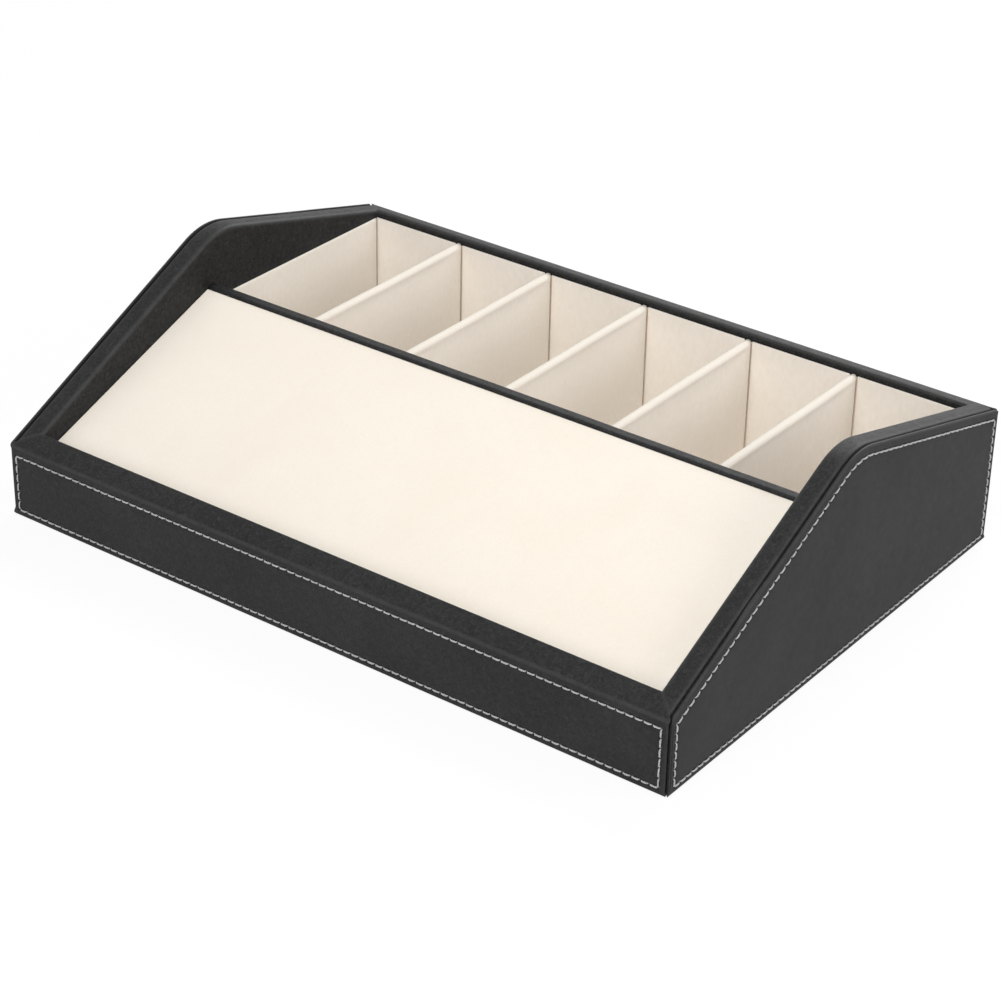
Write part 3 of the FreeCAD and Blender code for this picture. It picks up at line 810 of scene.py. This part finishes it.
def nap_material(name, base, dark, scale, sheen, brush, mottle):
    """Suede and velvet: a short nap, brushed a little one way, with soft darker patches and darker open folds; the fold
    darkening is partly the open pile and partly painted shade toning down the lit tops.
    """
    material, tree, bsdf = shader(name, Roughness=0.95, Specular_IOR_Level=0.12, Sheen_Weight=sheen, Sheen_Roughness=0.45)
    at = place_texture(tree)
    swept = place_texture(tree, brush)
    patchy = noise(tree, at, 18.0, 4.0, 0.55, 0.8)
    strokes = noise(tree, swept, scale * 0.25, 4.0, 0.65)
    fibre = noise(tree, swept, scale, 3.0, 0.7)
    tone = mix_colour(tree, ramp(tree, patchy, 0.35, 0.7, 0.0, 0.45), base, dark)
    colour = mix_colour(tree, ramp(tree, strokes, 0.35, 0.70, 0.0, mottle), tone, dark)
    speck = mix_colour(tree, ramp(tree, fibre, 0.3, 0.6, 0.22, 0.0), colour, tuple(0.8 * c for c in dark))
    # painted shade on marked fold tops, partly the deeper base of open pile
    open_pile_shade = node(tree, "ShaderNodeAttribute", attribute_name="wear_and_painted_light").outputs["Fac"]
    tree.links.new(mix_colour(tree, open_pile_shade, speck, tuple(0.94 * c for c in dark)), bsdf.inputs["Base Color"])
    bump(tree, bsdf, [(strokes, 0.00012, 0.25), (fibre, 0.00009, 0.5)])
    return material


def thread_material():
    material, tree, bsdf = shader("thread", Roughness=0.62, Specular_IOR_Level=0.35, Sheen_Weight=0.15)
    at = place_texture(tree)
    fibre = noise(tree, at, 5200.0, 2.0, 0.6)
    along = noise(tree, at, 160.0, 2.0, 0.5)
    tone = mix_colour(tree, ramp(tree, along, 0.3, 0.7), (0.37, 0.37, 0.37), (0.45, 0.45, 0.445))
    tree.links.new(mix_colour(tree, ramp(tree, fibre, 0.3, 0.6, 0.4, 0.0), tone, (0.30, 0.30, 0.30)), bsdf.inputs["Base Color"])
    bump(tree, bsdf, [(fibre, 0.00006, 0.6)])
    return material


def felt_material():
    material, tree, bsdf = shader("felt", Roughness=0.98, Specular_IOR_Level=0.1, Sheen_Weight=0.25, Sheen_Roughness=0.6)
    at = place_texture(tree)
    fibre = noise(tree, at, 1400.0, 4.0, 0.75, 1.5)
    clump = noise(tree, at, 140.0, 3.0, 0.6)
    tone = mix_colour(tree, ramp(tree, clump, 0.3, 0.7), (0.030, 0.030, 0.032), (0.042, 0.042, 0.044))
    tree.links.new(mix_colour(tree, ramp(tree, fibre, 0.45, 0.7), tone, (0.07, 0.07, 0.072)), bsdf.inputs["Base Color"])
    bump(tree, bsdf, [(clump, 0.0002, 0.4), (fibre, 0.00015, 0.7)])
    return material


def board_material(name, low, high, grain):
    material, tree, bsdf = shader(name, Roughness=0.85, Specular_IOR_Level=0.3)
    at = place_texture(tree)
    grainy = noise(tree, at, 900.0, 4.0, 0.7)
    cloud = noise(tree, at, 40.0, 3.0, 0.5)
    tone = mix_colour(tree, ramp(tree, cloud, 0.3, 0.7), low, high)
    tree.links.new(mix_colour(tree, ramp(tree, grainy, 0.35, 0.65, 0.5, 0.0), tone, grain), bsdf.inputs["Base Color"])
    bump(tree, bsdf, [(grainy, 0.0001, 0.5)])
    return material


def steel_material():
    material, tree, bsdf = shader("nail_wire", Metallic=1.0)
    at = place_texture(tree, (1, 12, 12))
    scratch = noise(tree, at, 900.0, 3.0, 0.6)
    tree.links.new(
        mix_colour(tree, ramp(tree, scratch, 0.3, 0.7), (0.50, 0.50, 0.51), (0.60, 0.60, 0.61)), bsdf.inputs["Base Color"]
    )
    tree.links.new(ramp(tree, scratch, 0.3, 0.7, 0.28, 0.45), bsdf.inputs["Roughness"])
    bump(tree, bsdf, [(scratch, 0.00002, 0.4)])
    return material


# base tone, lighter random tone, and the rubbing colour that also serves as painted highlight
LEATHER_TONES = (0.0154, 0.0154, 0.0158), (0.022, 0.022, 0.0224), (0.041, 0.041, 0.0415)
PANEL_LEATHER = leather_material("panel_leather", *LEATHER_TONES, 0.1)
# the upright faces of the front and back covers get a 12 percent lighter copy of the leather: painted light
LIGHTER_FACE_LEATHER = leather_material("face_leather_painted_light", *[tuple(1.12 * c for c in tone) for tone in LEATHER_TONES], 0.55)
WRAP_LEATHER = leather_material("wrap_leather", *LEATHER_TONES, 1.0)
SUEDE = nap_material("cream_suede", (0.905, 0.84, 0.745), (0.855, 0.78, 0.67), 2200.0, 0.12, (1.0, 0.45, 0.45), 0.3)
VELVET = nap_material("cream_velvet", (0.925, 0.872, 0.808), (0.845, 0.782, 0.695), 1900.0, 0.10, (1.0, 1.0, 0.5), 0.65)
THREAD = thread_material()
FELT = felt_material()
BOARD = board_material("bare_fibreboard", (0.47, 0.35, 0.235), (0.53, 0.41, 0.285), (0.34, 0.24, 0.15))
CARD = board_material("pale_card", (0.68, 0.58, 0.47), (0.74, 0.64, 0.53), (0.52, 0.43, 0.33))
STEEL = steel_material()

# Leather
wall_cover("front_cover", -1, FRONT_H, RISE, FRONT_WALL, 0.6, "front_leather")
wall_cover("back_cover", 1, BACK_H, FALL, BACK_WALL, 1.6, "back_leather")
for word, side in (("left", -1), ("right", 1)):
    side_strip(word + "_strip", side, word + "_side_wrap", WRAP_LEATHER)
    side_panel(word + "_panel", side, word + "_outer_panel", PANEL_LEATHER)


def centre_cover():
    top = [(CENTRE_FRONT_Y, BASE_TOP, 0), (CENTRE_FRONT_Y, CENTRE_TOP, 1.5), (CENTRE_BACK_Y, CENTRE_TOP, 1.5),
           (CENTRE_BACK_Y, BASE_TOP, 0)]
    marks = [
        lambda length: spread(length, [0.0], [0.0, 1.0, 3.0], 9.0),
        lambda length: spread(length, [0.0], [0.0], 0.9),
        lambda length: spread(length, [0.0, 1.0, 3.0], [0.0], 9.0),
    ]
    outer, normals, places = rounded_path(top, marks, 7)
    inner = [(CENTRE_BACK_Y - 1, BASE_TOP), (CENTRE_BACK_Y - 1, CENTRE_TOP - 1.05), (CENTRE_FRONT_Y + 1, CENTRE_TOP - 1.05),
             (CENTRE_FRONT_Y + 1, BASE_TOP)]
    section = np.concatenate([outer, np.array(inner)])
    xs = np.linspace(-INNER_X + 0.05, INNER_X - 0.05, 120)
    grid = np.empty((len(section), len(xs), 3))
    for r, (y, z) in enumerate(section):
        grid[r, :, 0], grid[r, :, 1], grid[r, :, 2] = xs, y, z
        if r < len(outer) and z > CENTRE_TOP - 3:
            grid[r, :, 2] += 0.07 * np.sin(xs * 0.045 + 0.6) + 0.04 * np.sin(xs * 0.117 + 2.0) + 0.1
    faces = tube_faces(len(section), len(xs))
    cols = len(xs)
    faces.append([r * cols for r in range(len(section))])
    faces.append([r * cols + cols - 1 for r in range(len(section))][::-1])
    return add_mesh("centre_cover", grid.reshape(-1, 3), faces, WRAP_LEATHER, replaces=("centre_wrap",))


centre_cover()

# Stitching
rng = np.random.default_rng(41)
add_stitches("front_stitches", wall_seams(FRONT_H), lambda p: np.column_stack([p[:, 0], -HALF_D - p[:, 2], p[:, 1]]),
             "front_stitching", rng, THREAD)
add_stitches("back_stitches", wall_seams(BACK_H), lambda p: np.column_stack([p[:, 0], HALF_D + p[:, 2], p[:, 1]]),
             "back_stitching", rng, THREAD)
for word, side in (("left", -1), ("right", 1)):
    add_stitches(word + "_stitches", side_seams(),
                 lambda p, side=side: np.column_stack([side * (HALF_W + 0.1 + p[:, 2]), p[:, 0], p[:, 1]]),
                 word + "_stitching", rng, THREAD)

# Pads
def blown_sheet(width, length, step, pinned, pressure):
    """Heights in millimetres of a cloth sheet that is held at its pinned points and pushed up from below; the
    simulation runs once and its result is read back as a function of points (a, b) on the sheet."""
    cols, rows = round(width / step), round(length / step)
    a, b = np.linspace(-width / 2, width / 2, cols + 1), np.linspace(0, length, rows + 1)
    flat = np.array([(x, y, 0.0) for x in a for y in b])
    faces = [(i * (rows + 1) + j, (i + 1) * (rows + 1) + j, (i + 1) * (rows + 1) + j + 1, i * (rows + 1) + j + 1)
             for i in range(cols) for j in range(rows)]
    mesh = bpy.data.meshes.new("sheet")
    mesh.from_pydata((flat * MM).tolist(), [], faces)
    sheet = bpy.data.objects.new("sheet", mesh)
    bpy.context.scene.collection.objects.link(sheet)
    sheet.vertex_groups.new(name="held").add([int(k) for k in np.nonzero(pinned(flat))[0]], 1.0, "ADD")
    cloth = sheet.modifiers.new("cloth", "CLOTH")
    cloth.point_cache.frame_start, cloth.point_cache.frame_end = 1, 20
    cloth.collision_settings.use_collision = False
    how = cloth.settings
    how.quality, how.mass, how.air_damping = 6, 0.3, 5.0
    how.tension_stiffness = how.compression_stiffness = 15.0
    how.shear_stiffness, how.bending_stiffness = 5.0, 0.5
    how.tension_damping = how.compression_damping = how.shear_damping = 25.0
    how.vertex_group_mass = "held"
    how.use_pressure, how.uniform_pressure_force = True, pressure
    how.effector_weights.gravity = 0.0
    for k in range(1, 21):
        bpy.context.scene.frame_set(k)
    moved = sheet.evaluated_get(bpy.context.evaluated_depsgraph_get()).to_mesh()
    found = np.empty(3 * len(moved.vertices))
    moved.vertices.foreach_get("co", found)
    bpy.context.scene.frame_set(1)
    bpy.data.objects.remove(sheet)
    bpy.data.meshes.remove(mesh)
    high = found.reshape(-1, 3)[:, 2].reshape(cols + 1, rows + 1) / MM

    def height(p):
        u = np.clip((p[:, 0] + width / 2) / width * cols, 0, cols - 1e-6)
        v = np.clip(p[:, 1] / length * rows, 0, rows - 1e-6)
        i, j = u.astype(int), v.astype(int)
        u, v = u - i, v - j
        low, top = high[i, j] * (1 - u) + high[i + 1, j] * u, high[i, j + 1] * (1 - u) + high[i + 1, j + 1] * u
        return low * (1 - v) + top * v

    return height


PAD_RISE = (PAD_HIGH - PAD_LOW) / (CENTRE_FRONT_Y - FRONT_IN_Y)
PAD_ANGLE = math.atan(PAD_RISE)


def display_pad():
    """Suede over thin foam: full in the middle, its edges drawn down against the leather."""
    length = (CENTRE_FRONT_Y - FRONT_IN_Y) / math.cos(PAD_ANGLE)
    gap = 0.12
    half = INNER_X - gap
    counts = (52, 150)
    loop = rect_loop(-half, half, gap, length - gap, counts)
    section = [(0.3, -PAD_THICK + 0.1), (0.05, -PAD_THICK + 0.3)]
    roll = 0.6
    for k in range(8):
        turn = math.radians(90 * k / 7)
        section.append((roll - roll * math.cos(turn), -roll + roll * math.sin(turn)))
    section += [(d, 0.0, 1) for d in (1.1, 1.9, 3.0, 4.6, 7.0, 10.0, 14.0)]

    def held(p):
        return (np.abs(p[:, 0]) > half - 0.01) | (p[:, 1] < 0.01) | (p[:, 1] > length - 0.01)

    crown = blown_sheet(2 * half, length, 4.0, held, 0.22)

    def lift(p):
        inside = np.minimum(half - np.abs(p[:, 0]), np.minimum(p[:, 1], length - p[:, 1]))
        full = 0.3 * (1 - np.exp(-np.maximum(inside - roll, 0) / 6.0))
        wave = 0.05 * np.sin(p[:, 0] * 0.031 + 0.4) * np.sin(p[:, 1] * 0.047 + 1.1)
        return full + crown(p) + wave * np.clip(inside / 20, 0, 1)

    points, faces = panel(loop, counts, section, lift)
    a, b, h = points[:, 0], points[:, 1], points[:, 2]
    world = np.column_stack(
        [a, FRONT_IN_Y + b * math.cos(PAD_ANGLE) - h * math.sin(PAD_ANGLE), PAD_LOW + b * math.sin(PAD_ANGLE) + h * math.cos(PAD_ANGLE)]
    )
    piece = add_mesh("suede_pad", world, faces, SUEDE, replaces=("display_pad",))
    return piece


display_pad()


# Compartments
def divider_x(i):
    """Middle of divider i, counted from the left."""
    return -LINER_X + sum(COMPARTMENTS[: i + 1]) + (i + 0.5) * DIVIDER_T


def slab(loop_args, counts, low, high, radius, place, extra=(2.0, 5.0), back_extra=()):
    """A flat piece with rounded edges; extra and back_extra are further rings on its two faces."""
    section = [(d, low) for d in reversed(back_extra)] + rolled(radius, low, high, 5, extra)
    points, faces = panel(rect_loop(*loop_args, counts), counts, section, two_sided=True)
    return place(points), faces


def join(parts):
    points, faces, start = [], [], 0
    for p, f in parts:
        points.append(p)
        faces += [[start + i for i in face] for face in f]
        start += len(p)
    return np.concatenate(points), faces


FOLD_FULL, FOLD_DEEP, FOLD_RINGS = 0.17, 1.9, (2.4, 3.2, 4.2, 5.6, 8.0)


def divider(i):
    """Velvet folded over a stiff core: a little fuller at the fold along its top, where the pile opens; that fold is
    painted darker, partly open pile and partly painted shade on the lit top.
    """
    at, half = divider_x(i), DIVIDER_T / 2

    def place(p):
        inside = np.minimum(p[:, 0] - CENTRE_BACK_Y, BACK_IN_Y - p[:, 0])
        fold = np.exp(-(((DIVIDER_TOP - FOLD_DEEP - p[:, 1]) / 1.7) ** 2)) * (1 - np.exp(-((inside / 3.0) ** 2)))
        wide = 1 + FOLD_FULL * fold + 0.03 * np.sin(p[:, 0] * 0.05 + i)
        wave = 0.12 * np.sin(p[:, 0] * 0.06 + 1.3 * i) * (p[:, 1] > 60)
        return np.column_stack([at + p[:, 2] * wide, p[:, 0], p[:, 1] + wave])

    pts, fcs = slab((CENTRE_BACK_Y + 0.45, BACK_IN_Y - 0.45, PAD_TOP + 0.02, DIVIDER_TOP), (18, 40), -half, half, 1.9,
                    place, FOLD_RINGS, FOLD_RINGS)
    # painted shade along the lit top fold, partly open pile
    fold_top_shade = np.exp(-(((DIVIDER_TOP - pts[:, 2]) / 1.6) ** 2))
    n = str(i + 1)
    add_mesh("velvet_divider_" + n, pts, fcs, VELVET, body="divider_" + n,
             replaces=("divider_" + n + "_velvet",), wear_and_painted_light=fold_top_shade)


for i in range(DIVIDERS):
    divider(i)


LINER_RINGS, CARD_T = (0.5, 0.9, 1.4, 2.2, 5.0), 0.4


def soft_ends(p, a0, a1, shown, hidden):
    """Slab points with the shown face drawn back where the velvet turns round the upright edges at a0 and a1."""
    near = np.maximum(np.minimum(p[:, 0] - a0, a1 - p[:, 0]), 0)
    share = (p[:, 2] - hidden) / (shown - hidden)
    return p[:, 2] - (shown - hidden) * 0.55 * share * np.exp(-((near / 1.2) ** 2))


def end_liner(y0, y1, node):
    """Liner at the front or back of the compartments: a velvet tile between each two dividers, joined under the floor
    pad, on one thin card that shows in the slots."""
    edges = [-INNER_X + 0.05] + [v for i in range(DIVIDERS) for v in (divider_x(i) - SLOT_W / 2, divider_x(i) + SLOT_W / 2)]
    edges.append(INNER_X - 0.05)
    wall, shown, out = (y1, y0, 1) if y1 > BACK_IN_Y - 1 else (y0, y1, -1)
    rear = wall - out * CARD_T
    low, high = min(rear, shown), max(rear, shown)
    parts = []
    for k in range(DIVIDERS + 1):
        a0, a1 = edges[2 * k], edges[2 * k + 1]
        parts.append(
            slab((a0, a1, BASE_TOP + 0.05, LINER_TOP), (18, 18), low, high, 0.25,
                 lambda p, a0=a0, a1=a1: np.column_stack([p[:, 0], soft_ends(p, a0, a1, shown, rear), p[:, 1]]), LINER_RINGS)
        )
    parts.append(
        slab((-INNER_X + 0.2, INNER_X - 0.2, BASE_TOP + 0.03, BASE_TOP + 1.4), (2, 60), low + 0.1, high - 0.1, 0.3,
             lambda p: np.column_stack([p[:, 0], p[:, 2], p[:, 1]]), extra=())
    )
    pts, fcs = join(parts)
    add_mesh("velvet_" + node, pts, fcs, VELVET, replaces=(node,))
    ends = sorted((wall, rear + out * 0.03))
    pts, fcs = slab((-INNER_X + 0.1, INNER_X - 0.1, BASE_TOP + 0.05, LINER_TOP - 0.7), (18, 60), *ends, 0.1,
                    lambda p: np.column_stack([p[:, 0], p[:, 2], p[:, 1]]), extra=())
    add_mesh(node + "_card", pts, fcs, CARD, replaces=(node,))


end_liner(CENTRE_BACK_Y + 0.03, LINER_FRONT_Y, "front_liner")
end_liner(LINER_BACK_Y, BACK_IN_Y - 0.03, "back_liner")
for word, side in (("left", -1), ("right", 1)):
    y0, y1 = LINER_FRONT_Y + 0.5, LINER_BACK_Y - 0.25
    pts, fcs = slab((y0, y1, BASE_TOP + 0.02, LINER_TOP), (18, 40), LINER_X, INNER_X - 0.03, 0.25,
                    lambda p, side=side: np.column_stack([side * soft_ends(p, y0, y1, LINER_X, INNER_X - 0.03), p[:, 0], p[:, 1]]),
                    extra=LINER_RINGS)
    add_mesh("velvet_" + word + "_liner", pts, fcs, VELVET, replaces=(word + "_liner",))


def floor_pad():
    """Thin pad under the compartments, held down by the dividers and full between them."""
    x, y0, y1 = LINER_X - 0.3, LINER_FRONT_Y + 0.3, LINER_BACK_Y - 0.3
    counts = (36, 150)
    loop = rect_loop(-x, x, y0, y1, counts)
    places = [divider_x(i) for i in range(DIVIDERS)]

    def held(p):
        rim = (np.abs(p[:, 0]) > x - 0.01) | (p[:, 1] < 0.01) | (p[:, 1] > y1 - y0 - 0.01)
        return rim | np.any([np.abs(p[:, 0] - at) < DIVIDER_T / 2 + 0.5 for at in places], axis=0)

    crown = blown_sheet(2 * x, y1 - y0, 3.0, held, 1.4)

    def lift(p):
        edge = np.minimum(np.minimum(x - np.abs(p[:, 0]), p[:, 1] - y0), y1 - p[:, 1])
        for at in places:
            edge = np.minimum(edge, np.maximum(np.abs(p[:, 0] - at) - DIVIDER_T / 2 - 0.3, 0))
        return np.minimum(crown(p - [0, y0]), edge * 0.12) + 0.35 * (1 - np.exp(-np.maximum(edge, 0) / 3.0))

    section = [(0.3, BASE_TOP + 0.03), (0.0, BASE_TOP + 0.4)]
    for k in range(6):
        turn = math.radians(18 * k)
        section.append((0.8 - 0.8 * math.cos(turn), PAD_TOP - 0.85 + 0.8 * math.sin(turn)))
    section += [(d, PAD_TOP - 0.05, 1) for d in (1.6, 3.0, 5.5, 9.0)]
    points, faces = panel(loop, counts, section, lift)
    piece = add_mesh("velvet_floor_pad", points, faces, VELVET, replaces=("compartment_floor_pad",))


floor_pad()

# Felt under the base
pts, fcs = slab((-195.0, 195.0, -139.0, 139.0), (40, 56), 0.0, 0.6, 0.25, lambda p: p, extra=(2.0, 6.0))
felt = add_mesh("felt_sheet", pts, fcs, FELT, replaces=("base_felt",))

# CAD pieces that stay
for name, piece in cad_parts.items():
    if piece.hide_render:
        continue
    material = STEEL if name == "brad_nails" else BOARD
    if not piece.data.materials:
        piece.data.materials.append(material)
    for index in range(len(piece.material_slots)):
        piece.material_slots[index].material = material

# Floor, light and camera
scene = bpy.context.scene
scene.view_settings.view_transform = "Standard"


def see_white(tree, lit, strength):
    """Shader for what the camera and reflections see: white, mixed over the lit surface."""
    path = node(tree, "ShaderNodeLightPath")
    seen = node(tree, "ShaderNodeMath", {0: path.outputs["Is Camera Ray"], 1: path.outputs["Is Glossy Ray"]}, operation="ADD")
    seen = node(tree, "ShaderNodeMath", {0: seen.outputs[0], 1: path.outputs["Is Transmission Ray"]}, operation="ADD",
                use_clamp=True)
    white = node(tree, "ShaderNodeEmission", in_Color=(1, 1, 1, 1), in_Strength=1.0)
    factor = node(tree, "ShaderNodeMath", {0: seen.outputs[0]}, operation="MULTIPLY", in_1=strength)
    return node(tree, "ShaderNodeMixShader", {0: factor.outputs[0], 1: lit, 2: white.outputs[0]}).outputs[0]


def make_floor():
    mesh = bpy.data.meshes.new("studio_floor")
    mesh.from_pydata([(-6, -6, 0), (6, -6, 0), (6, 6, 0), (-6, 6, 0)], [], [(0, 1, 2, 3)])
    floor = bpy.data.objects.new("studio_floor", mesh)
    floor.location.z = -0.0001
    scene.collection.objects.link(floor)
    material = bpy.data.materials.new("white_floor")
    material.use_nodes = True
    tree = material.node_tree
    tree.nodes.remove(tree.nodes["Principled BSDF"])
    lit = node(tree, "ShaderNodeBsdfDiffuse", in_Color=(0.97, 0.97, 0.97, 1))
    tree.links.new(see_white(tree, lit.outputs[0], 0.90), tree.nodes["Material Output"].inputs["Surface"])
    mesh.materials.append(material)


def make_world():
    world = bpy.data.worlds.new("studio")
    world.use_nodes = True
    tree = world.node_tree
    background = tree.nodes["Background"]
    background.inputs["Color"].default_value = (1, 1, 1, 1)
    path = node(tree, "ShaderNodeLightPath")
    seen = node(tree, "ShaderNodeMath", {0: path.outputs["Is Camera Ray"], 1: path.outputs["Is Glossy Ray"]}, operation="ADD")
    seen = node(tree, "ShaderNodeMath", {0: seen.outputs[0], 1: path.outputs["Is Transmission Ray"]}, operation="ADD",
                use_clamp=True)
    strength = node(tree, "ShaderNodeMapRange", {"Value": seen.outputs[0]}, in_3=0.22, in_4=1.0)
    tree.links.new(strength.outputs[0], background.inputs["Strength"])
    scene.world = world


def add_area(name, place, aim, size, power):
    data = bpy.data.lights.new(name, "AREA")
    data.shape, data.size, data.energy = "SQUARE", size, power
    lamp = bpy.data.objects.new(name, data)
    lamp.location = place
    lamp.visible_camera = False
    lamp.rotation_mode = "QUATERNION"
    lamp.rotation_quaternion = (Vector(aim) - Vector(place)).to_track_quat("-Z", "Y")
    scene.collection.objects.link(lamp)


make_floor()
make_world()
for name, place, size, power in (
    ("key_softbox", (0.5, -0.9, 1.7), 1.2, 17.5),
    ("side_softbox", (1.6, 0.5, 0.9), 1.0, 10.9),
    ("front_softbox", (0.45, -1.65, 0.95), 1.2, 12.8),
    ("back_softbox", (-0.3, 1.5, 1.2), 1.2, 21.8),
):
    add_area(name, place, (0, 0, 0.05), size, power)


def make_camera():
    """Camera fitted to the box's corners and edges in a 1001 by 1001 frame."""
    azimuth, elevation, roll = (math.radians(v) for v in (36.312, 29.568, -1.201))
    back = Vector((math.sin(azimuth) * math.cos(elevation), -math.cos(azimuth) * math.cos(elevation), math.sin(elevation)))
    right = (-back).cross(Vector((0, 0, 1))).normalized()
    down = (-back).cross(right)
    image_right = right * math.cos(roll) + down * math.sin(roll)
    image_up = right * math.sin(roll) - down * math.cos(roll)
    data = bpy.data.cameras.new("photo_camera")
    data.sensor_fit, data.sensor_width = "HORIZONTAL", 36.0
    data.lens = 36.0 * 2826.762 / 1001.0
    data.clip_start, data.clip_end = 0.05, 50.0
    camera = bpy.data.objects.new("photo_camera", data)
    turn = Matrix((image_right, image_up, back)).transposed().to_4x4()
    camera.matrix_world = Matrix.Translation(Vector((0.735364, -0.999323, 0.718883))) @ turn
    scene.collection.objects.link(camera)
    scene.camera = camera


make_camera()
